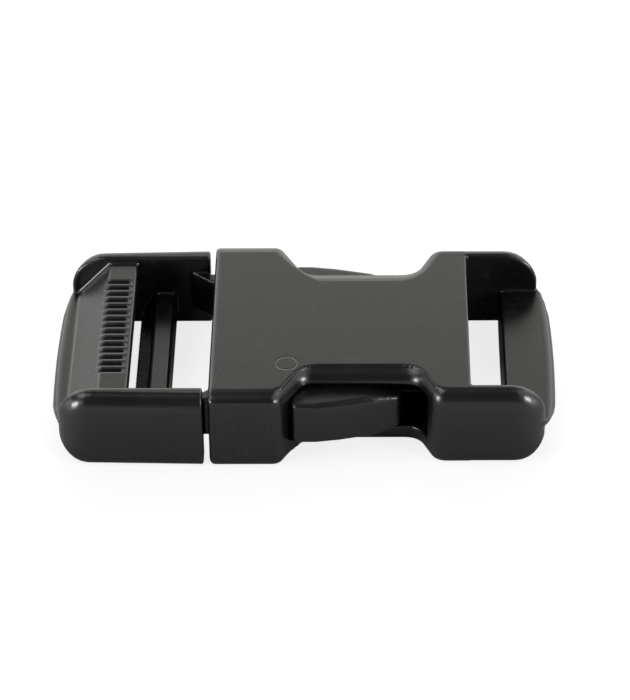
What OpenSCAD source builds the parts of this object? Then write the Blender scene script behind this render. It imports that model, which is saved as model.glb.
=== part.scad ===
// Side release buckle for 25 mm webbing, closed, in millimetres.
// X runs along the webbing: the male half is at -X, the female half at +X.
// Z is up, and the buckle lies on the plane z = 0, centred on the origin.

/* [Webbing] */
// Clear width of the slots that the webbing runs through
slot_w = 27; // [26:0.1:27.6]
// Wall beside each slot
rail_wall = 2.2; // [2:0.1:2.6]
// Clear length of the slot in the female half
strap_slot = 4.2; // [4.2:0.1:5]

/* [Female half] */
// Thickness of the closed buckle
thickness = 10.5; // [10:0.1:11]
// Width of the collar that the prongs snap behind
collar_w = 32.6; // [32:0.1:34]
// Length of the collar's straight sides
collar_l = 8.6; // [7:0.1:9]
// Width of the waist between the two finger windows
waist_w = 22; // [20:0.1:22.4]
// Length of each finger window, corner to corner
window_l = 14.1; // [13.6:0.1:14.6]
// Thickness of the top and bottom plates
plate = 2.1; // [1.9:0.1:2.3]
// Rounding of the top edges
top_round = 1.9; // [1.3:0.1:2]
// Rounding of the bottom edges
bottom_round = 0.6; // [0.4:0.1:0.8]

/* [Bars] */
// Length of the closed buckle over both bars
overall_l = 62.4; // [62:0.1:63]
// Height of the strap bar and of the lip
bar_h = 5; // [4.6:0.1:5.4]
// How much further out each bar stands at its middle than near its ends
bar_bulge = 0.3; // [0:0.1:0.6]

/* [Male half] */
// Thickness of the male half
male_t = 10.2; // [10:0.1:10.5]
// Height of the ribbed grip panel
panel_h = 9.5; // [9:0.1:9.8]
// Length of the ribbed grip panel
panel_l = 3.5; // [3:0.1:4]
// Thickness of the ramp and the panel
ramp_wall = 2.4; // [2:0.1:2.6]
// Number of grooves in the grip panel
groove_count = 15; // [9:1:17]
// Distance from groove to groove
groove_pitch = 1.33; // [1.2:0.01:1.4]
// Depth of each groove
groove_depth = 0.5; // [0.3:0.05:0.6]

/* [Prongs] */
// Width over the two prong heads
heads_w = 29.7; // [29:0.1:30.2]
// Running gap between the male half and the female half
gap = 0.3; // [0.25:0.05:0.35]
// Thickness of each prong's arm
arm_wall = 2.6; // [2.2:0.1:3]
// Width of the guide tongue between the prongs
tongue_w = 5; // [4:0.1:5.6]

/* [Hidden] */

plastic = [0.17, 0.17, 0.165];
steps = 5;
top_steps = 7;
overlap = 0.02;

slot_y = slot_w / 2;
collar_y = collar_w / 2;
waist_y = waist_w / 2;
shoulder_y = slot_y + rail_wall;
end_x = overall_l / 2;

// Stations along the female half
mouth_x = -11.5;
collar_x1 = mouth_x + collar_l;
window_x0 = collar_x1 + 2.8;
window_x1 = window_x0 + window_l;
shoulder_x = window_x1 + 2.1;
slot_x0 = 20.4;
slot_x1 = slot_x0 + strap_slot;
cavity_x1 = 17.6;
catch_x = window_x0 - 1.65;
guide_gap_y = tongue_w / 2 + 0.6;
guide_wall = 1;
keel_r = 3.6;
rail_round = 0.64 * rail_wall;
rail_tall = 1.7;
rim_round = 0.4;
end_cut = 0.27;
end_rise = 0.045;
end_r = 2;

// Outer corners of the frames: length in plan, and the top corner seen from the side
female_plan_l = 3.6;
female_side_r = 4.4;
female_corner_x = 29.55;
male_plan_l = 4;
male_side_r = 4.3;
male_corner_x = -29.95;

// Stations along the male half
rail_x1 = mouth_x - 0.7;
rail_y1 = shoulder_y + 0.6;
rail_y0 = shoulder_y + 0.25;
window_bar_x1 = -16.7;
window_bar_x0 = -19;
window_bar_foot = -21.2;
window_bar_h = 4.8;
panel_x1 = -21.4;
panel_x0 = panel_x1 - panel_l;
ramp_foot_x = -29.1;
lip_x1 = -28.3;
base_x0 = mouth_x + 0.5;
base_x1 = base_x0 + 2.6;
prong_z0 = plate + gap;
prong_z1 = thickness - plate - gap;
head_y = heads_w / 2;
head_x0 = catch_x + gap + 0.05;
tip_x = 12.1;
taper_x = 5;
tip_drop = 0.9;

function turned(v, angle) =
    [v.x * cos(angle) - v.y * sin(angle), v.x * sin(angle) + v.y * cos(angle)];
function unit(v) = v / norm(v);
function turn_angle(a, b) = atan2(a.x * b.y - a.y * b.x, a * b);

// How far a rounded edge has curved inwards, as a share, at a share of its height from the top
function curved_in(share) = share >= 1 ? 0 : 1 - sqrt(share * (2 - share));

// One corner of an outline, with the sides before and after it moved inwards, and then rounded
function rounded_corner(before, row, after, inset1, inset2) = let(
    p = [row.x, row.y],
    d1 = unit(p - [before.x, before.y]),
    d2 = unit([after.x, after.y] - p),
    n1 = turned(d1, 90),
    n2 = turned(d2, 90),
    corner = p + n1 * inset1 + d1 * (inset2 - inset1 * (n1 * n2)) / (d1 * n2),
    angle = turn_angle(d1, d2),
    side = sign(angle),
    small = row[2] < 0.5,
    r = max(row[2] - side * (inset1 + inset2) / 2, small ? 0.1 : 0.35),
    centre = corner - d1 * r * tan(abs(angle) / 2) + n1 * side * r,
    count = small ? 1 : steps
) [for (k = [0 : count]) centre - turned(n1, angle * k / count) * side * r];

// The whole outline, listed anticlockwise, with each side moved inwards by its own inset
function outline(rows, insets) = let(count = len(rows)) [
    for (i = [0 : count - 1])
        let(last = (i + count - 1) % count)
            each rounded_corner(rows[last], rows[i], rows[(i + 1) % count], insets[last], insets[i])
];

// The other half of an outline that is the same on both sides of the XZ plane, closed by a plain side
function mirrored_rows(rows) = let(last = len(rows) - 1) [
    for (i = [0 : last]) let(side = i < last ? rows[last - i - 1] : [0, 0, 0, 0, 1])
        [rows[last - i].x, -rows[last - i].y, rows[last - i][2], side[3], side[4]]
];

// Solid through a list of loops with the same number of points
module loft(loops) {
    count = len(loops[0]);
    last = len(loops) - 1;
    polyhedron(
        points = [for (loop = loops) each loop],
        faces = concat(
            [[for (i = [0 : count - 1]) i]],
            [[for (i = [count - 1 : -1 : 0]) last * count + i]],
            [for (k = [0 : last - 1], i = [0 : count - 1]) let(j = (i + 1) % count)
                [k * count + i, (k + 1) * count + i, (k + 1) * count + j]],
            [for (k = [0 : last - 1], i = [0 : count - 1]) let(j = (i + 1) % count)
                [k * count + i, (k + 1) * count + j, k * count + j]]
        )
    );
}

// Upright body with rounded edges. A row is [x, y, corner radius, depth and height of the rounding
// along the top of the side that follows].
module moulded(rows, z0, z1, r_bottom) {
    high = max([for (row = rows) row[4]]);
    bottom = [for (k = [0 : 2]) let(a = 45 * k) [z0 + r_bottom * (1 - cos(a)),
        [for (row = rows) min(row[3], r_bottom) * (1 - sin(a))]]];
    top = [for (k = [0 : top_steps]) let(down = high * (1 - sin(90 * k / top_steps))) [z1 - down,
        [for (row = rows) row[3] * curved_in(down / row[4])]]];
    loft([for (layer = concat(bottom, top)) [for (p = outline(rows, layer[1])) [p.x, p.y, layer[0]]]]);
}

// How far a surface has curved away at x, where it ends at end in an arc that long and that deep
function arc_drop(x, end, along, across) = let(share = max(0, x - end + along) / along)
    across * (1 - sqrt(max(0, 1 - share * share)));

// Section of a rail at x, as an anticlockwise loop in the YZ plane
function rail_section(x, y_outer, bottom, top) = let(
    wall = y_outer - slot_y,
    r = min(rail_round, 0.8 * wall),
    tall = rail_tall * r,
    s = min(0.4, 0.15 * wall),
    i = min(rim_round, 0.15 * wall),
    b = min(bottom_round, 0.5 * wall)
) concat(
    [[x, slot_y, bottom + s], [x, slot_y + s, bottom]],
    [for (k = [0 : 2]) [x, y_outer - b + b * sin(45 * k), bottom + b - b * cos(45 * k)]],
    [for (k = [0 : top_steps]) let(a = 90 * k / top_steps)
        [x, y_outer - r + r * cos(a), top - tall + tall * sin(a)]],
    [for (k = [0 : 2]) [x, slot_y + i - i * sin(45 * k), top - i + i * cos(45 * k)]]
);

// One side rail, from x0, where it is y1 wide, to the rounded corner at its outer end, where it is y0 wide
module rail(x0, y1, y0, t, end, plan_l, side_r) {
    arc_x = end - max(plan_l, side_r);
    tip = end - 0.03;
    stations = concat([x0], [for (k = [0 : 8]) arc_x + (tip - arc_x) * sin(90 * k / 8)]);
    loft([for (x = stations) rail_section(
        x,
        y0 + (y1 - y0) * max(0, arc_x - x) / (arc_x - x0) - arc_drop(x, end, plan_l, y0 - slot_y) - overlap,
        arc_drop(x, end, keel_r, keel_r) + overlap,
        t - arc_drop(x, end, side_r, side_r) - overlap
    )]);
}

// How far the outer side of a bar falls back at a distance y from the middle, more so lower down
function fall_back(y, z) = let(past = max(0, abs(y) - slot_y + 0.4)) bar_bulge * pow(y / 11, 2)
    + end_r - sqrt(end_r * end_r - past * past)
    + end_cut * pow(max(0, abs(y) - slot_y + 4.5), 2) * max(0, 1 - z / bar_h);

// How far the underside of a bar rises towards its ends
function rise(y, z) = end_rise * pow(max(0, abs(y) - slot_y + 4.5), 2) * max(0, 1 - z / bar_h);

// Where a point of a bar's profile lies at y; what is further out than fixed_x falls back towards it
function swept_point(p, y, fixed_x) = let(reach = max(0, abs(p.x) - fixed_x))
    [p.x - sign(p.x) * min(0.9 * reach, fall_back(y, p.y)), y, p.y + rise(y, p.y)];

// Bar swept across the buckle, with its outer side bulged and its ends drawn in
module swept_bar(profile, half_w, fixed_x) {
    places = [for (k = [-7 : 7]) -half_w * sin(90 / 7 * k)];
    loft([for (y = places) [for (p = profile) swept_point(p, y, fixed_x)]]);
}

// Lower outer edge of both bars, as an arc in the XZ plane
function keel(x_outer) = [for (k = [1 : 6]) let(a = 15 * k)
    [x_outer - keel_r + keel_r * sin(a), keel_r - keel_r * cos(a)]];

// Outline of the female half's main block
female_side = [
    [slot_x0, shoulder_y, 0.1, rail_round, rail_tall * rail_round],
    [shoulder_x, shoulder_y, 2, 0.8 * top_round, top_round],
    [window_x1, waist_y, 2.2, 1.6 * top_round, 1.05 * top_round],
    [window_x0, waist_y, 2.2, 0.8 * top_round, top_round],
    [collar_x1, collar_y, 1.5, top_round, 0.5 * top_round],
    [mouth_x, collar_y, 0.7, 0.3 * top_round, 0.4 * top_round]
];
female_rows = concat(female_side, mirrored_rows(female_side));

// Profile of the strap bar, anticlockwise in the XZ plane
strap_bar_profile = concat(
    [[slot_x1 + 0.3, 0.1]],
    keel(end_x),
    [[end_x, bar_h - 1.1], [end_x - 0.15, bar_h - 0.5], [end_x - 0.5, bar_h - 0.12], [end_x - 1, bar_h],
        [slot_x1 + 0.55, bar_h], [slot_x1 + 0.25, bar_h - 0.3], [slot_x1, 0.3]]
);

module cavity() {
    translate([mouth_x - 1, -slot_y, plate])
        cube([cavity_x1 - mouth_x + 1, slot_w, thickness - 2 * plate]);
}

// Flat face at the window end of each collar wall, which the prong heads bear against
module catch_cut() {
    translate([catch_x, -collar_y, plate])
        cube([3, collar_w, thickness - 2 * plate]);
}

module guide_walls() {
    for (side = [-1, 1])
        translate([base_x1 + 1, side * (guide_gap_y + guide_wall / 2) - guide_wall / 2, plate - 0.5])
            cube([cavity_x1 - base_x1, guide_wall, thickness - 2 * plate + 1]);
}

module female_half() {
    color(plastic) {
        difference() {
            moulded(female_rows, 0, thickness, bottom_round);
            cavity();
            catch_cut();
        }
        guide_walls();
        for (side = [0, 1])
            mirror([0, side, 0])
                rail(slot_x0 - 2, shoulder_y, shoulder_y, thickness, female_corner_x, female_plan_l,
                    female_side_r);
        swept_bar(strap_bar_profile, slot_y + 1.2, slot_x1 + 2);
    }
}

// Profile of the lip, anticlockwise in the XZ plane
lip_profile = concat(
    [[-end_x + 1, bar_h], [-end_x + 0.5, bar_h - 0.12], [-end_x + 0.15, bar_h - 0.5], [-end_x, bar_h - 1.1]],
    [for (k = [5 : -1 : 0]) let(p = keel(end_x)[k]) [-p.x, p.y]],
    [[lip_x1, 0.1], [lip_x1, bar_h]]
);

// Profile of the ramp and the grip panel
ramp_slope = (panel_h - bar_h) / (panel_x0 - ramp_foot_x);
grip_profile = [
    [ramp_foot_x - 0.4, bar_h - 0.4 * ramp_slope], [ramp_foot_x - 0.4, 3], [lip_x1 - 0.5, 1.5],
    [lip_x1 + 0.3, 2.4], [panel_x0 + 1, panel_h - ramp_wall], [panel_x1 - 0.2, panel_h - ramp_wall],
    [panel_x1, panel_h - ramp_wall + 0.2], [panel_x1, panel_h - 0.2], [panel_x1 - 0.2, panel_h],
    [panel_x0, panel_h]
];

window_bar_profile = [
    [window_bar_foot + 0.3, 0.2], [window_bar_x1 - 0.3, 0.2], [window_bar_x1, 0.5],
    [window_bar_x1, window_bar_h - 0.4], [window_bar_x1 - 0.4, window_bar_h],
    [window_bar_x0, window_bar_h], [window_bar_x0 - 0.4, window_bar_h - 0.2],
    [window_bar_foot + 0.1, 1.4], [window_bar_foot, 0.5]
];

// Bar of one section from rail to rail
module straight_bar(profile) {
    translate([0, slot_y + 0.5, 0])
        rotate([90, 0, 0])
            linear_extrude(slot_w + 1)
                polygon(profile);
}

// Saw-tooth grooves across the grip panel, which run out through the ramp
module grooves() {
    wide = groove_pitch / 2;
    for (k = [0 : groove_count - 1])
        translate([panel_x0 - 2, (k - (groove_count - 1) / 2) * groove_pitch + wide / 2, panel_h])
            rotate([90, 0, 90])
                linear_extrude(panel_l + 2 - 0.6)
                    polygon([[0, 0.5], [0, -groove_depth], [-wide / 2, -groove_depth], [-wide, 0.1], [-wide, 0.5]]);
}

// Outline of one prong: its arm, and the head that shows in the finger window
prong_rows = [
    [base_x0 + 0.2, slot_y - gap - arm_wall, 0.3, 0.3, 0.3],
    [8.6, 9.8, 0.45, 0.4, 0.4],
    [tip_x, 10.8, 0.45, 0.5, 1.4],
    [tip_x, head_y - 2.75, 1.2, 0.5, 1.4],
    [8.8, head_y - 1.5, 4, 0.5, 1.2],
    [4.4, head_y - 0.45, 5, 0.45, 1.1],
    [1.6, head_y - 0.02, 3, 0.3, 0.8],
    [head_x0, head_y, 0.6, 0.2, 0.4],
    [head_x0, slot_y - gap, 0.12, 0.3, 0.3],
    [base_x0 + 0.2, slot_y - gap, 0.3, 0.3, 0.3]
];

// Side view that a prong is cut to, which thins towards its tip and starts just clear of the prong
module prong_side() {
    start = -0.15;
    drops = [for (k = [0 : 4])
        [taper_x + (tip_x + 0.3 - taper_x) * k / 4, tip_drop * (start + (1 - start) * pow(k / 4, 2))]];
    polygon(concat(
        [[base_x0, prong_z1 + 1], [base_x0, prong_z0 - 1], [taper_x, prong_z0 - 1]],
        [for (d = drops) [d.x, prong_z0 + d.y]],
        [for (k = [4 : -1 : 0]) [drops[k].x, prong_z1 - drops[k].y]],
        [[taper_x, prong_z1 + 1]]
    ));
}

module prong() {
    intersection() {
        moulded(prong_rows, prong_z0, prong_z1, 0.3);
        translate([0, collar_y, 0])
            rotate([90, 0, 0])
                linear_extrude(collar_w)
                    prong_side();
    }
}

// Cross member inside the collar's mouth, with its gussets out to the rails
module base() {
    wide = 2 * (slot_y - gap - 0.1);
    z0 = prong_z0 + 0.1;
    high = prong_z1 - prong_z0 - 0.2;
    translate([base_x0, -wide / 2, z0])
        cube([base_x1 - base_x0, wide, high]);
    for (side = [0, 1])
        mirror([0, side, 0])
            translate([0, 0, z0])
                linear_extrude(high)
                    polygon([[rail_x1 - 3, slot_y + 0.5], [base_x0 + 1, 9.8], [base_x0 + 1, slot_y - gap - 0.05],
                        [rail_x1 - 0.2, slot_y - gap - 0.05], [rail_x1 - 0.2, slot_y + 0.5]]);
}

module guide_tongue() {
    translate([base_x1 - 0.5, -tongue_w / 2, prong_z0 + 0.6])
        cube([cavity_x1 - base_x1 - 6, tongue_w, prong_z1 - prong_z0 - 1.2]);
}

module male_half() {
    color(plastic) {
        for (side = [0, 1])
            mirror([0, side, 0])
                mirror([1, 0, 0])
                    rail(-rail_x1, rail_y1, rail_y0, male_t, -male_corner_x, male_plan_l, male_side_r);
        swept_bar(lip_profile, slot_y + 1.2, 0.3 - lip_x1);
        difference() {
            straight_bar(grip_profile);
            grooves();
        }
        straight_bar(window_bar_profile);
        base();
        guide_tongue();
        for (side = [0, 1])
            mirror([0, side, 0])
                prong();
    }
}

male_half();
female_half();
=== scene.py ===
"""Dresses a closed side release buckle in satin moulded plastic and lights it on a pale studio floor."""

import math

import bmesh
import bpy
from bpy.props import FloatProperty, FloatVectorProperty, IntProperty, PointerProperty
from mathutils import Matrix, Vector


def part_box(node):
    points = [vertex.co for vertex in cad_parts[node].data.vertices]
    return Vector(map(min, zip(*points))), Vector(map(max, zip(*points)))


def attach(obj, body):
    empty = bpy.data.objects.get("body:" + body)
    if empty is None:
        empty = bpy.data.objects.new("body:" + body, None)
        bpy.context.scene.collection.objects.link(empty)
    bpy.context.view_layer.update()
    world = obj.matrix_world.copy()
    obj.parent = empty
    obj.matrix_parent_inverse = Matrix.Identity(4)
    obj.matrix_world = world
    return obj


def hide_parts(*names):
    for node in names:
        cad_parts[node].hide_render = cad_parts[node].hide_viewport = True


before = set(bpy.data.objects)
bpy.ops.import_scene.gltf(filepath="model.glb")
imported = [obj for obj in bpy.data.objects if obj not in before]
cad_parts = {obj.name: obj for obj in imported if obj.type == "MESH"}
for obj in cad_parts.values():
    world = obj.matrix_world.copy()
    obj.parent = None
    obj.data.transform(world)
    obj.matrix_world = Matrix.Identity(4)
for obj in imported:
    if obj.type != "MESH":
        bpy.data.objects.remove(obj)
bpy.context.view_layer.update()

bl_info = {
    "name": "Side release buckle",
    "version": (1, 0, 0),
    "blender": (4, 5, 0),
    "location": "View3D > Sidebar > Buckle",
    "description": "Dresses a closed side release buckle in satin moulded plastic",
    "category": "Object",
}

MM = 0.001

# Heights of the flat faces below the tops of the rails
STRAP_BAR_TOP = 5 * MM
PANEL_TOP = 9.5 * MM
MIDDLE_BAR_TOP = 4.8 * MM

# How far off a flat face a point may lie and still be put back on it
LEVEL_REACH = 0.015 * MM

# The teeth of the middle bar: the slot that they fill, the row's place from the lip and from the ground,
# and how far they lean
SLOT_WIDTH = 27 * MM
TEETH_FROM_LIP = 10.05 * MM
TEETH_ABOVE_GROUND = 0.85 * MM
TEETH_LEAN = math.radians(6)

# The round mould mark on the top plate: its place from the collar's mouth, and across the buckle
MARK_FROM_MOUTH = 9.47 * MM
MARK_ACROSS = -9.23 * MM

# The faint scratch on the ramp: its middle, its turn, and the lowest height beside its middle where it shows
SCRATCH_MIDDLE = Vector((-27.45, -1.75, 6.8)) * MM
SCRATCH_TURN = math.radians(-24)
SCRATCH_LOWEST = -2 * MM

# The plastic: its index of refraction, how much flow marks and wear roughen it, and how worn each half is,
# which also sets how much painted highlight its convex edges get
PLASTIC_IOR = 1.53
FLOW_ROUGHNESS = 0.12
WORN_ROUGHNESS = 0.06
FEMALE_WEAR_AND_HIGHLIGHT = 0.5
MALE_WEAR_AND_HIGHLIGHT = 0.6

# Texture scale of the flow marks as a share of the grain's, which makes them twenty times as broad
FLOW_SCALE = 0.05

# The floor's half width and its depth below the buckle, and the nearest point that the camera shows
FLOOR_HALF_WIDTH = 2.5
FLOOR_DROP = 0.02 * MM
CAMERA_CLIP_START = 0.01

# The lamps, in metres: where each one hangs, and the length of its sides
BACK_LAMP_PLACE = (0, 0.75, 0.5)
BACK_LAMP_SIZE = 0.5
LEFT_LAMP_PLACE = (-0.36, -0.25, 0.06)
RIGHT_LAMP_PLACE = (0.38, -0.23, 0.12)
SIDE_LAMP_SIZE = 0.12

# Broad panels of the studio, in degrees: the azimuth of the middle, from straight behind towards the
# right, half the width, the lowest and highest elevation, the width of the fade around it, and the light
STUDIO_PANELS = (
    (10, 45, 0, 26, 20, (1.84, 1.88, 1.75)),
    (-60, 15, 0, 8, 20, (1.0, 1.0, 1.0)),
    (-90, 30, 58, 58, 25, (4.2, 4.2, 4.2)),
    (90, 30, 32, 58, 25, (1.4, 1.4, 1.4)),
    (-112, 22, 0, 10, 14, (3.2, 3.2, 3.2)),
    (112, 22, 0, 10, 14, (2.6, 2.6, 2.6)),
)

# The least fade to either side of a panel, in degrees
LEAST_SIDE_FADE = 15


# Settings


class MouldingSettings(bpy.types.PropertyGroup):
    """How finely the two halves are resurfaced, and how soft their edges come out."""

    voxel: FloatProperty(
        name="Voxel",
        description="Spacing of the points that the surface is rebuilt from",
        default=0.16 * MM,
        min=0.1 * MM,
        max=0.5 * MM,
        unit="LENGTH",
        precision=5,
    )
    passes: IntProperty(
        name="Softening passes",
        description="How often the surface is relaxed, which rounds its sharp edges",
        default=5,
        min=0,
        max=30,
    )
    triangles: IntProperty(
        name="Triangles",
        description="Most triangles that each half may have",
        default=190000,
        min=20000,
        max=199000,
    )


class BarTeethSettings(bpy.types.PropertyGroup):
    """The fine teeth along the foot of the bar that the webbing wraps over."""

    pitch: FloatProperty(
        name="Pitch",
        description="Distance from tooth to tooth",
        default=0.95 * MM,
        min=0.6 * MM,
        max=2 * MM,
        unit="LENGTH",
        precision=5,
    )
    width: FloatProperty(
        name="Width",
        description="Width of a tooth where it leaves the bar",
        default=0.55 * MM,
        min=0.2 * MM,
        max=1 * MM,
        unit="LENGTH",
        precision=5,
    )
    length: FloatProperty(
        name="Length",
        description="Length of a tooth down the slope of the bar",
        default=1.3 * MM,
        min=0.5 * MM,
        max=3 * MM,
        unit="LENGTH",
        precision=5,
    )
    height: FloatProperty(
        name="Height",
        description="How far a tooth stands out of the bar",
        default=0.16 * MM,
        min=0.05 * MM,
        max=0.4 * MM,
        unit="LENGTH",
        precision=5,
    )


class PlasticSettings(bpy.types.PropertyGroup):
    """The finish of the black plastic."""

    colour: FloatVectorProperty(
        name="Colour",
        description="Colour of the plastic",
        default=(0.0026, 0.0026, 0.0025),
        min=0,
        max=1,
        subtype="COLOR",
    )
    # Lighter colour of the rubbed convex edges: partly real wear, partly a painted highlight on the edges
    worn_and_highlight_colour: FloatVectorProperty(
        name="Worn colour",
        description="Colour of the plastic where handling has rubbed its edges",
        default=(0.01, 0.01, 0.0095),
        min=0,
        max=1,
        subtype="COLOR",
    )
    roughness: FloatProperty(
        name="Roughness",
        description="How much the surface scatters its reflections",
        default=0.28,
        min=0.1,
        max=0.8,
    )
    grain: FloatProperty(
        name="Grain",
        description="Size of the fine grain left by the mould",
        default=0.22 * MM,
        min=0.05 * MM,
        max=1 * MM,
        unit="LENGTH",
        precision=5,
    )
    grain_depth: FloatProperty(
        name="Grain depth",
        description="Depth of the fine grain",
        default=0.0012 * MM,
        min=0,
        max=0.05 * MM,
        unit="LENGTH",
        precision=6,
    )


class StageSettings(bpy.types.PropertyGroup):
    """The camera, the floor and the lights."""

    target: FloatVectorProperty(
        name="Target",
        description="Point that the camera looks at",
        default=(1.278 * MM, 0.848 * MM, 5 * MM),
        subtype="TRANSLATION",
        unit="LENGTH",
    )
    distance: FloatProperty(
        name="Distance",
        description="Distance from the camera to its target",
        default=440.3 * MM,
        min=0.1,
        max=2,
        unit="LENGTH",
    )
    pitch: FloatProperty(
        name="Pitch",
        description="How steeply the camera looks down",
        default=math.radians(36.5),
        min=0,
        max=math.pi / 2,
        subtype="ANGLE",
    )
    yaw: FloatProperty(
        name="Yaw",
        description="How far the camera is turned about the vertical",
        default=math.radians(-1.154),
        subtype="ANGLE",
    )
    roll: FloatProperty(
        name="Roll",
        description="How far the camera is tilted about its own axis",
        default=math.radians(-0.846),
        subtype="ANGLE",
    )
    lens: FloatProperty(
        name="Focal length",
        description="Focal length in millimetres on a sensor 36 mm wide",
        default=180.57,
        min=20,
        max=400,
    )
    floor_colour: FloatVectorProperty(
        name="Floor colour",
        description="Colour of the floor",
        default=(0.86, 0.86, 0.855),
        min=0,
        max=1,
        subtype="COLOR",
    )
    floor_reflected: FloatProperty(
        name="Floor reflected",
        description="Share of the paper's colour that the buckle mirrors",
        default=0.48,
        min=0,
        max=1,
    )
    floor_glow: FloatProperty(
        name="Floor glow",
        description="Share of the paper's brightness that it gives off by itself, which fills its shadows",
        default=0.8,
        min=0,
        max=1,
    )
    room_light: FloatProperty(
        name="Room light",
        description="Strength of the dim room around the studio's panels",
        default=0.12,
        min=0,
        max=2,
    )
    back_power: FloatProperty(
        name="Back power",
        description="Power of the broad lamp behind the buckle in watts",
        default=8,
        min=0,
        max=50,
    )
    side_power: FloatProperty(
        name="Side power",
        description="Power of each of the two side lamps in watts",
        default=1.2,
        min=0,
        max=20,
    )


# Shader node groups


def new_group(name, inputs, outputs):
    """A shader node group with its sockets; inputs are rows of name, socket type and default."""
    group = bpy.data.node_groups.new(name, "ShaderNodeTree")
    for label, kind, default in inputs:
        socket = group.interface.new_socket(name=label, in_out="INPUT", socket_type=kind)
        if default is not None:
            socket.default_value = default
    for label, kind in outputs:
        group.interface.new_socket(name=label, in_out="OUTPUT", socket_type=kind)
    return group, group.nodes.new("NodeGroupInput"), group.nodes.new("NodeGroupOutput")


def link_or_set(tree, socket, value):
    """Feeds a node's socket from another socket, or gives it a value."""
    if isinstance(value, bpy.types.NodeSocket):
        tree.links.new(value, socket)
    else:
        socket.default_value = value


def fed_node(tree, kind, operation, values):
    """A Math or Vector Math node whose inputs are fed in order; returns the node."""
    node = tree.nodes.new(kind)
    node.operation = operation
    for socket, value in zip(node.inputs, values):
        link_or_set(tree, socket, value)
    return node


def math_node(tree, operation, *values):
    """A Math node fed by sockets or numbers; returns its output."""
    return fed_node(tree, "ShaderNodeMath", operation, values).outputs["Value"]


def vector_node(tree, operation, *values):
    """A Vector Math node fed by sockets or vectors; returns its output vector."""
    return fed_node(tree, "ShaderNodeVectorMath", operation, values).outputs["Vector"]


def distance_node(tree, first, second):
    """The distance between two points, each given as a socket."""
    return fed_node(tree, "ShaderNodeVectorMath", "DISTANCE", (first, second)).outputs["Value"]


def parts_of(tree, vector):
    """The X, Y and Z outputs of a vector."""
    node = tree.nodes.new("ShaderNodeSeparateXYZ")
    tree.links.new(vector, node.inputs["Vector"])
    return node.outputs


def smooth_step(tree, value, low, high):
    """A Map Range node that rises smoothly from 0 at low to 1 at high; returns its output."""
    node = tree.nodes.new("ShaderNodeMapRange")
    node.interpolation_type = "SMOOTHSTEP"
    tree.links.new(value, node.inputs["Value"])
    link_or_set(tree, node.inputs["From Min"], low)
    link_or_set(tree, node.inputs["From Max"], high)
    return node.outputs["Result"]


def noise_node(tree, vector, scale, detail, roughness):
    """A Noise Texture with its vector and scale linked; returns its value."""
    node = tree.nodes.new("ShaderNodeTexNoise")
    node.inputs["Detail"].default_value = detail
    node.inputs["Roughness"].default_value = roughness
    tree.links.new(vector, node.inputs["Vector"])
    tree.links.new(scale, node.inputs["Scale"])
    return node.outputs["Fac"]


def tint_node(tree, share, plain, tinted):
    """A Mix node from one colour to another by a share; returns its output."""
    node = tree.nodes.new("ShaderNodeMix")
    node.data_type = "RGBA"
    node.inputs["A"].default_value = (*plain, 1)
    node.inputs["B"].default_value = (*tinted, 1)
    tree.links.new(share, node.inputs["Factor"])
    return node.outputs["Result"]


def moulded_grain_group():
    """Fine even grain of a spark-eroded mould, with slow variation from how the plastic flowed."""
    group, given, out = new_group(
        "Moulded Grain",
        [
            ("Vector", "NodeSocketVector", None),
            ("Scale", "NodeSocketFloat", 4500.0),
            ("Depth", "NodeSocketFloat", 0.004 * MM),
        ],
        [("Height", "NodeSocketFloat"), ("Flow", "NodeSocketFloat")],
    )
    fine = noise_node(group, given.outputs["Vector"], given.outputs["Scale"], detail=2, roughness=0.6)
    broad_scale = math_node(group, "MULTIPLY", given.outputs["Scale"], FLOW_SCALE)
    broad = noise_node(group, given.outputs["Vector"], broad_scale, detail=3, roughness=0.55)
    height = math_node(group, "MULTIPLY", fine, given.outputs["Depth"])
    group.links.new(height, out.inputs["Height"])
    group.links.new(broad, out.inputs["Flow"])
    return group


def edge_wear_and_highlight_group():
    """Mask of the convex edges that handling has rubbed and that get a painted highlight, broken up so that
    it isn't even.
    """
    group, given, out = new_group(
        "Edge Wear And Highlight",
        [
            ("Vector", "NodeSocketVector", None),
            ("Amount", "NodeSocketFloat", 1.0),
            ("Breakup", "NodeSocketFloat", 900.0),
        ],
        [("Mask", "NodeSocketFloat")],
    )
    sharpness = group.nodes.new("ShaderNodeNewGeometry").outputs["Pointiness"]
    convex = smooth_step(group, sharpness, low=0.53, high=0.62)
    patches = noise_node(group, given.outputs["Vector"], given.outputs["Breakup"], detail=3, roughness=0.6)
    broken = smooth_step(group, patches, low=0.35, high=0.62)
    worn_and_highlit = math_node(group, "MULTIPLY", convex, broken)
    group.links.new(math_node(group, "MULTIPLY", worn_and_highlit, given.outputs["Amount"]), out.inputs["Mask"])
    return group


def scratch_group():
    """Height of one short shallow scratch along X through the origin, on faces above a given height."""
    group, given, out = new_group(
        "Scratch",
        [
            ("Vector", "NodeSocketVector", None),
            ("Length", "NodeSocketFloat", 3 * MM),
            ("Width", "NodeSocketFloat", 0.3 * MM),
            ("Depth", "NodeSocketFloat", 0.01 * MM),
            ("Above", "NodeSocketFloat", 0.0),
        ],
        [("Height", "NodeSocketFloat")],
    )
    full_depth_share = 0.6
    parts = parts_of(group, given.outputs["Vector"])
    sideways = math_node(group, "ABSOLUTE", parts["Y"])
    across = math_node(group, "SUBTRACT", 1.0, smooth_step(group, sideways, 0.0, given.outputs["Width"]))
    lengthways = math_node(group, "ABSOLUTE", parts["X"])
    half = math_node(group, "MULTIPLY", given.outputs["Length"], 0.5)
    full = math_node(group, "MULTIPLY", half, full_depth_share)
    along = math_node(group, "SUBTRACT", 1.0, smooth_step(group, lengthways, full, half))
    on_top = math_node(group, "GREATER_THAN", parts["Z"], given.outputs["Above"])
    mask = math_node(group, "MULTIPLY", math_node(group, "MULTIPLY", across, along), on_top)
    deep = math_node(group, "MULTIPLY", mask, given.outputs["Depth"])
    group.links.new(math_node(group, "MULTIPLY", deep, -1.0), out.inputs["Height"])
    return group


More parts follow.
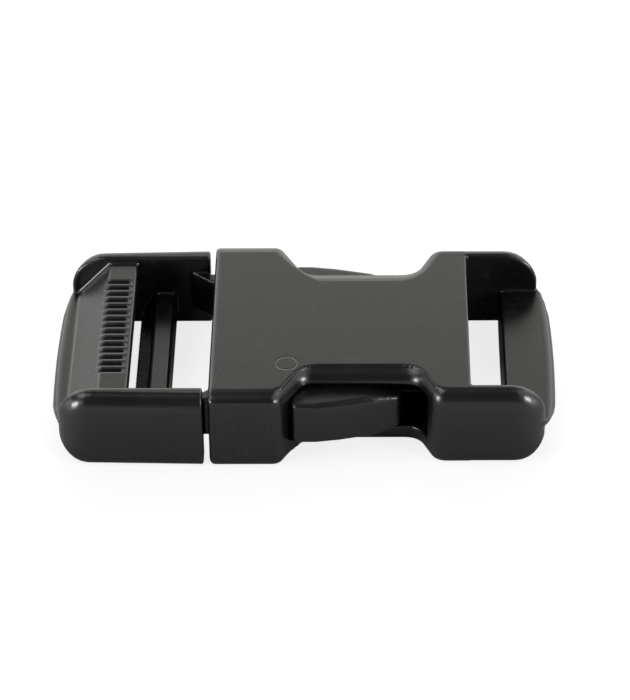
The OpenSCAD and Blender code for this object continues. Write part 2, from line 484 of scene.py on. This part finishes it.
def mould_mark_group():
    """Height of a shallow ring left by a round pin of the mould, on faces above a given height."""
    group, given, out = new_group(
        "Mould Mark",
        [
            ("Vector", "NodeSocketVector", None),
            ("Centre", "NodeSocketVector", (0.0, 0.0, 0.0)),
            ("Radius", "NodeSocketFloat", 1.3 * MM),
            ("Line", "NodeSocketFloat", 0.16 * MM),
            ("Depth", "NodeSocketFloat", 0.04 * MM),
            ("Above", "NodeSocketFloat", 10.3 * MM),
        ],
        [("Height", "NodeSocketFloat")],
    )
    flat = vector_node(group, "MULTIPLY", given.outputs["Vector"], (1, 1, 0))
    away = distance_node(group, flat, given.outputs["Centre"])
    off_line = math_node(group, "ABSOLUTE", math_node(group, "SUBTRACT", away, given.outputs["Radius"]))
    groove = math_node(group, "SUBTRACT", 1.0, smooth_step(group, off_line, 0.0, given.outputs["Line"]))
    above = parts_of(group, given.outputs["Vector"])["Z"]
    on_top = math_node(group, "GREATER_THAN", above, given.outputs["Above"])
    mask = math_node(group, "MULTIPLY", groove, on_top)
    deep = math_node(group, "MULTIPLY", mask, given.outputs["Depth"])
    group.links.new(math_node(group, "MULTIPLY", deep, -1.0), out.inputs["Height"])
    return group


def shared_group(name, build):
    """The node group of that name, built the first time that it is asked for."""
    return bpy.data.node_groups.get(name) or build()


def place_group(tree, group, vector, **values):
    """Puts a node group into a tree, with its Vector linked and its other inputs set."""
    node = tree.nodes.new("ShaderNodeGroup")
    node.node_tree = group
    tree.links.new(vector, node.inputs["Vector"])
    for label, value in values.items():
        node.inputs[label].default_value = value
    return node


# Materials


def satin_plastic(name, settings, wear_and_highlight, mark_centre=None, scratch=None):
    """Black satin plastic with mould grain, flow marks and worn edges that also carry a painted highlight,
    and a mark or a scratch if given.
    """
    material = bpy.data.materials.new(name)
    material.use_nodes = True
    tree = material.node_tree
    shader = tree.nodes["Principled BSDF"]
    shader.inputs["IOR"].default_value = PLASTIC_IOR
    place = tree.nodes.new("ShaderNodeTexCoord").outputs["Object"]
    grain = place_group(
        tree,
        shared_group("Moulded Grain", moulded_grain_group),
        place,
        Scale=1 / settings.grain,
        Depth=settings.grain_depth,
    )
    edges = place_group(tree, shared_group("Edge Wear And Highlight", edge_wear_and_highlight_group), place, Amount=wear_and_highlight)
    rubbed_and_highlit = edges.outputs["Mask"]

    # Rubbed convex edges get a lighter colour: partly real wear, partly a painted highlight on the edges
    tint = tint_node(tree, rubbed_and_highlit, settings.colour, settings.worn_and_highlight_colour)
    tree.links.new(tint, shader.inputs["Base Color"])

    smoothest = settings.roughness - FLOW_ROUGHNESS / 2
    uneven = math_node(tree, "MULTIPLY_ADD", grain.outputs["Flow"], FLOW_ROUGHNESS, smoothest)
    rougher = math_node(tree, "MULTIPLY_ADD", rubbed_and_highlit, WORN_ROUGHNESS, uneven)
    tree.links.new(rougher, shader.inputs["Roughness"])

    height = grain.outputs["Height"]
    if mark_centre:
        ring = shared_group("Mould Mark", mould_mark_group)
        mark = place_group(tree, ring, place, Centre=(*mark_centre, 0))
        height = math_node(tree, "ADD", height, mark.outputs["Height"])
    if scratch:
        middle, turn = scratch
        local = tree.nodes.new("ShaderNodeMapping")
        local.vector_type = "TEXTURE"
        local.inputs["Location"].default_value = middle
        local.inputs["Rotation"].default_value = (0, 0, turn)
        tree.links.new(place, local.inputs["Vector"])
        groove = shared_group("Scratch", scratch_group)
        line = place_group(tree, groove, local.outputs["Vector"], Above=SCRATCH_LOWEST)
        height = math_node(tree, "ADD", height, line.outputs["Height"])
    bump = tree.nodes.new("ShaderNodeBump")
    bump.inputs["Distance"].default_value = 1
    tree.links.new(height, bump.inputs["Height"])
    tree.links.new(bump.outputs["Normal"], shader.inputs["Normal"])
    return material


def floor_material(colour, reflected, glow):
    """Pale paper that partly glows where the camera sees it, and is darker in what the buckle mirrors."""
    material = bpy.data.materials.new("Pale Paper")
    material.use_nodes = True
    tree = material.node_tree
    shader = tree.nodes["Principled BSDF"]
    shader.inputs["Roughness"].default_value = 0.9
    shader.inputs["Specular IOR Level"].default_value = 0.1
    seen = tree.nodes.new("ShaderNodeLightPath").outputs["Is Camera Ray"]
    mirrored = [reflected * part for part in colour]
    direct = [(1 - glow) * part for part in colour]
    tree.links.new(tint_node(tree, seen, mirrored, direct), shader.inputs["Base Color"])
    shader.inputs["Emission Color"].default_value = (1, 1, 1, 1)
    tree.links.new(math_node(tree, "MULTIPLY", seen, glow), shader.inputs["Emission Strength"])
    return material


# Mesh work


def merged_copy(node, name):
    """A piece with a copy of a CAD node's surface, joined up at its seams."""
    surface = bmesh.new()
    surface.from_mesh(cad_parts[node].data)
    bmesh.ops.remove_doubles(surface, verts=surface.verts, dist=0.001 * MM)
    mesh = bpy.data.meshes.new(name)
    surface.to_mesh(mesh)
    surface.free()
    piece = bpy.data.objects.new(name, mesh)
    bpy.context.scene.collection.objects.link(piece)
    return piece


def apply_modifiers(piece):
    """Turns a piece and its modifiers into a plain mesh."""
    evaluated = piece.evaluated_get(bpy.context.evaluated_depsgraph_get())
    mesh = bpy.data.meshes.new_from_object(evaluated)
    old = piece.data
    piece.modifiers.clear()
    piece.data = mesh
    bpy.data.meshes.remove(old)


def soften(piece, settings):
    """Resurfaces a piece so that every edge is slightly rounded, as a moulding's are."""
    resample = piece.modifiers.new("Resample", "REMESH")
    resample.mode = "VOXEL"
    resample.voxel_size = settings.voxel
    relax = piece.modifiers.new("Relax", "SMOOTH")
    relax.factor = 0.5
    relax.iterations = settings.passes
    apply_modifiers(piece)
    thin = piece.modifiers.new("Thin", "DECIMATE")
    thin.ratio = min(1, settings.triangles / (2 * len(piece.data.polygons)))
    apply_modifiers(piece)
    piece.data.shade_smooth()


def level(piece, heights):
    """Puts the points that resampling left slightly off a flat face at one of the heights back on it."""
    for point in piece.data.vertices:
        for height in heights:
            if abs(point.co.z - height) < LEVEL_REACH:
                point.co.z = height


def ride_and_replace(piece, material, node):
    """Gives a piece its finish and puts it in the place of a CAD node."""
    piece.data.materials.clear()
    piece.data.materials.append(material)
    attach(piece, "root")
    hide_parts(node)


# Geometry nodes


def along_y(tree, length):
    """A vector of the given length along Y."""
    node = tree.nodes.new("ShaderNodeCombineXYZ")
    tree.links.new(length, node.inputs["Y"])
    return node.outputs["Vector"]


def bar_teeth_tree():
    """A row of small rounded teeth along Y, with its middle at a given point."""
    tree = bpy.data.node_groups.new("Bar Teeth", "GeometryNodeTree")
    for label, kind in (
        ("Count", "NodeSocketInt"),
        ("Pitch", "NodeSocketFloat"),
        ("Size", "NodeSocketVector"),
        ("Middle", "NodeSocketVector"),
        ("Lean", "NodeSocketFloat"),
        ("Finish", "NodeSocketMaterial"),
    ):
        tree.interface.new_socket(name=label, in_out="INPUT", socket_type=kind)
    tree.interface.new_socket(name="Geometry", in_out="OUTPUT", socket_type="NodeSocketGeometry")
    given = tree.nodes.new("NodeGroupInput")
    out = tree.nodes.new("NodeGroupOutput")

    last = math_node(tree, "SUBTRACT", given.outputs["Count"], 1.0)
    half_run = math_node(tree, "MULTIPLY", math_node(tree, "MULTIPLY", last, -0.5), given.outputs["Pitch"])
    start = vector_node(tree, "ADD", along_y(tree, half_run), given.outputs["Middle"])

    row = tree.nodes.new("GeometryNodeMeshLine")
    tree.links.new(given.outputs["Count"], row.inputs["Count"])
    tree.links.new(start, row.inputs["Start Location"])
    tree.links.new(along_y(tree, given.outputs["Pitch"]), row.inputs["Offset"])

    tooth = tree.nodes.new("GeometryNodeMeshUVSphere")
    tooth.inputs["Segments"].default_value = 12
    tooth.inputs["Rings"].default_value = 8
    tooth.inputs["Radius"].default_value = 0.5
    place = tree.nodes.new("GeometryNodeInstanceOnPoints")
    tree.links.new(row.outputs["Mesh"], place.inputs["Points"])
    tree.links.new(tooth.outputs["Mesh"], place.inputs["Instance"])
    tree.links.new(along_y(tree, given.outputs["Lean"]), place.inputs["Rotation"])
    tree.links.new(given.outputs["Size"], place.inputs["Scale"])
    real = tree.nodes.new("GeometryNodeRealizeInstances")
    tree.links.new(place.outputs["Instances"], real.inputs["Geometry"])
    finish = tree.nodes.new("GeometryNodeSetMaterial")
    tree.links.new(real.outputs["Geometry"], finish.inputs["Geometry"])
    tree.links.new(given.outputs["Finish"], finish.inputs["Material"])
    tree.links.new(finish.outputs["Geometry"], out.inputs["Geometry"])
    return tree


def grown_piece(name, tree, values):
    """A piece whose mesh a Geometry Nodes tree makes from the values of its inputs."""
    piece = bpy.data.objects.new(name, bpy.data.meshes.new(name))
    bpy.context.scene.collection.objects.link(piece)
    grow = piece.modifiers.new("Grow", "NODES")
    grow.node_group = tree
    sockets = {item.name: item.identifier for item in tree.interface.items_tree if item.in_out == "INPUT"}
    for label, value in values.items():
        grow[sockets[label]] = value
    apply_modifiers(piece)
    piece.data.shade_smooth()
    return piece


# Operators


class BUCKLE_OT_female_half(bpy.types.Operator):
    """Resurfaces and finishes the female half: collar, plates, shoulders and strap bar"""

    bl_idname = "buckle.female_half"
    bl_label = "Female Half"

    def execute(self, context):
        scene = context.scene
        piece = merged_copy("female_half", "female_shell")
        soften(piece, scene.buckle_moulding)
        low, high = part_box("female_half")
        level(piece, (high.z, STRAP_BAR_TOP))
        mark = (low.x + MARK_FROM_MOUTH, MARK_ACROSS)
        material = satin_plastic("Female Plastic", scene.buckle_plastic, FEMALE_WEAR_AND_HIGHLIGHT, mark_centre=mark)
        ride_and_replace(piece, material, "female_half")
        return {"FINISHED"}


class BUCKLE_OT_male_half(bpy.types.Operator):
    """Resurfaces and finishes the male half: rails, grip panel, bars and prongs"""

    bl_idname = "buckle.male_half"
    bl_label = "Male Half"

    def execute(self, context):
        scene = context.scene
        piece = merged_copy("male_half", "male_frame")
        soften(piece, scene.buckle_moulding)
        level(piece, (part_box("male_half")[1].z, PANEL_TOP, MIDDLE_BAR_TOP))
        scratch = (SCRATCH_MIDDLE, SCRATCH_TURN)
        material = satin_plastic("Male Plastic", scene.buckle_plastic, MALE_WEAR_AND_HIGHLIGHT, scratch=scratch)
        ride_and_replace(piece, material, "male_half")
        return {"FINISHED"}


class BUCKLE_OT_bar_teeth(bpy.types.Operator):
    """Sets a row of fine teeth along the foot of the adjuster's middle bar"""

    bl_idname = "buckle.bar_teeth"
    bl_label = "Bar Teeth"

    def execute(self, context):
        teeth = context.scene.buckle_teeth
        row_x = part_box("male_half")[0].x + TEETH_FROM_LIP
        piece = grown_piece(
            "bar_teeth",
            bar_teeth_tree(),
            {
                "Count": int(SLOT_WIDTH / teeth.pitch),
                "Pitch": teeth.pitch,
                "Size": (2 * teeth.height, teeth.width, teeth.length),
                "Middle": (row_x, 0, TEETH_ABOVE_GROUND),
                "Lean": TEETH_LEAN,
                "Finish": bpy.data.materials["Male Plastic"],
            },
        )
        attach(piece, "root")
        return {"FINISHED"}


class BUCKLE_OT_stage(bpy.types.Operator):
    """Sets up the camera, the pale floor and the soft studio light"""

    bl_idname = "buckle.stage"
    bl_label = "Stage"

    def execute(self, context):
        stage = context.scene.buckle_stage
        context.scene.view_settings.view_transform = "Standard"
        add_camera(stage)
        add_floor(stage)
        add_surroundings(context.scene, stage.room_light)
        back = add_lamp("back_lamp", BACK_LAMP_PLACE, BACK_LAMP_SIZE, stage.back_power)
        back.visible_glossy = False
        add_lamp("left_lamp", LEFT_LAMP_PLACE, SIDE_LAMP_SIZE, stage.side_power)
        add_lamp("right_lamp", RIGHT_LAMP_PLACE, SIDE_LAMP_SIZE, stage.side_power)
        return {"FINISHED"}


# Camera, floor and light


def add_camera(stage):
    """Points the camera at its target from the given distance, pitch, yaw and roll."""
    heading = Vector((math.sin(stage.yaw), math.cos(stage.yaw), 0))
    ahead = heading * math.cos(stage.pitch) - Vector((0, 0, math.sin(stage.pitch)))
    right = Vector((math.cos(stage.yaw), -math.sin(stage.yaw), 0))
    up = right.cross(ahead)
    rolled_right = right * math.cos(stage.roll) + up * math.sin(stage.roll)
    rolled_up = up * math.cos(stage.roll) - right * math.sin(stage.roll)
    turn = Matrix((rolled_right, rolled_up, -ahead)).transposed().to_4x4()
    data = bpy.data.cameras.new("camera")
    data.lens = stage.lens
    data.clip_start = CAMERA_CLIP_START
    camera = bpy.data.objects.new("camera", data)
    camera.matrix_world = Matrix.Translation(Vector(stage.target) - ahead * stage.distance) @ turn
    bpy.context.scene.collection.objects.link(camera)
    bpy.context.scene.camera = camera


def add_floor(stage):
    """Lays a wide floor just under the buckle."""
    half = FLOOR_HALF_WIDTH
    corners = [(-half, -half), (half, -half), (half, half), (-half, half)]
    mesh = bpy.data.meshes.new("floor")
    mesh.from_pydata([(x, y, -FLOOR_DROP) for x, y in corners], [], [(0, 1, 2, 3)])
    mesh.materials.append(floor_material(stage.floor_colour, stage.floor_reflected, stage.floor_glow))
    floor = bpy.data.objects.new("floor", mesh)
    bpy.context.scene.collection.objects.link(floor)


def add_lamp(name, place, size, power):
    """A square soft lamp that faces the buckle."""
    data = bpy.data.lights.new(name, "AREA")
    data.size = size
    data.energy = power
    lamp = bpy.data.objects.new(name, data)
    lamp.location = place
    lamp.rotation_euler = Vector(place).to_track_quat("Z", "Y").to_euler()
    bpy.context.scene.collection.objects.link(lamp)
    return lamp


def panel_share(tree, off, half, fade):
    """Falls from 1 within half an angle of the middle to 0 over the fade beyond it, in degrees."""
    node = tree.nodes.new("ShaderNodeMapRange")
    node.inputs["From Min"].default_value = math.radians(half)
    node.inputs["From Max"].default_value = math.radians(half + fade)
    node.inputs["To Min"].default_value = 1
    node.inputs["To Max"].default_value = 0
    tree.links.new(math_node(tree, "ABSOLUTE", off), node.inputs["Value"])
    return node.outputs["Result"]


def add_surroundings(scene, room_light):
    """A dim room with the studio panels in it, dark in front of the buckle."""
    world = bpy.data.worlds.new("Studio")
    world.use_nodes = True
    tree = world.node_tree
    parts = parts_of(tree, tree.nodes.new("ShaderNodeTexCoord").outputs["Generated"])
    azimuth = math_node(tree, "ARCTAN2", parts["X"], parts["Y"])
    elevation = math_node(tree, "ARCSINE", parts["Z"])
    light = (room_light, room_light, room_light)
    for middle, half_width, low, high, fade, strength in STUDIO_PANELS:
        turned = math_node(tree, "SUBTRACT", azimuth, math.radians(middle))
        turned = math_node(tree, "WRAP", turned, math.pi, -math.pi)
        raised = math_node(tree, "SUBTRACT", elevation, math.radians((low + high) / 2))
        across = panel_share(tree, turned, half_width, max(fade, LEAST_SIDE_FADE))
        along = panel_share(tree, raised, (high - low) / 2, fade)
        share = math_node(tree, "MULTIPLY", across, along)
        light = vector_node(tree, "MULTIPLY_ADD", share, strength, light)
    tree.links.new(light, tree.nodes["Background"].inputs["Color"])
    scene.world = world


# Panel and registration


class BUCKLE_PT_panel(bpy.types.Panel):
    """Lists the buckle's pieces and their settings"""

    bl_idname = "BUCKLE_PT_panel"
    bl_label = "Buckle"
    bl_space_type = "VIEW_3D"
    bl_region_type = "UI"
    bl_category = "Buckle"

    def draw(self, context):
        for name in SETTINGS:
            group = getattr(context.scene, name)
            box = self.layout.box()
            for key in group.__annotations__:
                box.prop(group, key)
        for operator in OPERATORS:
            self.layout.operator(operator.bl_idname)


SETTINGS = {
    "buckle_moulding": MouldingSettings,
    "buckle_teeth": BarTeethSettings,
    "buckle_plastic": PlasticSettings,
    "buckle_stage": StageSettings,
}
OPERATORS = (BUCKLE_OT_female_half, BUCKLE_OT_male_half, BUCKLE_OT_bar_teeth, BUCKLE_OT_stage)


def register():
    """Makes the settings, the operators and the panel known to Blender."""
    for group in SETTINGS.values():
        bpy.utils.register_class(group)
    for name, group in SETTINGS.items():
        setattr(bpy.types.Scene, name, PointerProperty(type=group))
    for operator in OPERATORS:
        bpy.utils.register_class(operator)
    bpy.utils.register_class(BUCKLE_PT_panel)


def unregister():
    """Undoes what register did."""
    bpy.utils.unregister_class(BUCKLE_PT_panel)
    for operator in reversed(OPERATORS):
        bpy.utils.unregister_class(operator)
    for name, group in reversed(SETTINGS.items()):
        delattr(bpy.types.Scene, name)
        bpy.utils.unregister_class(group)


def main():
    """Builds every piece and the stage."""
    register()
    bpy.ops.buckle.female_half()
    bpy.ops.buckle.male_half()
    bpy.ops.buckle.bar_teeth()
    bpy.ops.buckle.stage()


if __name__ == "__main__":
    main()
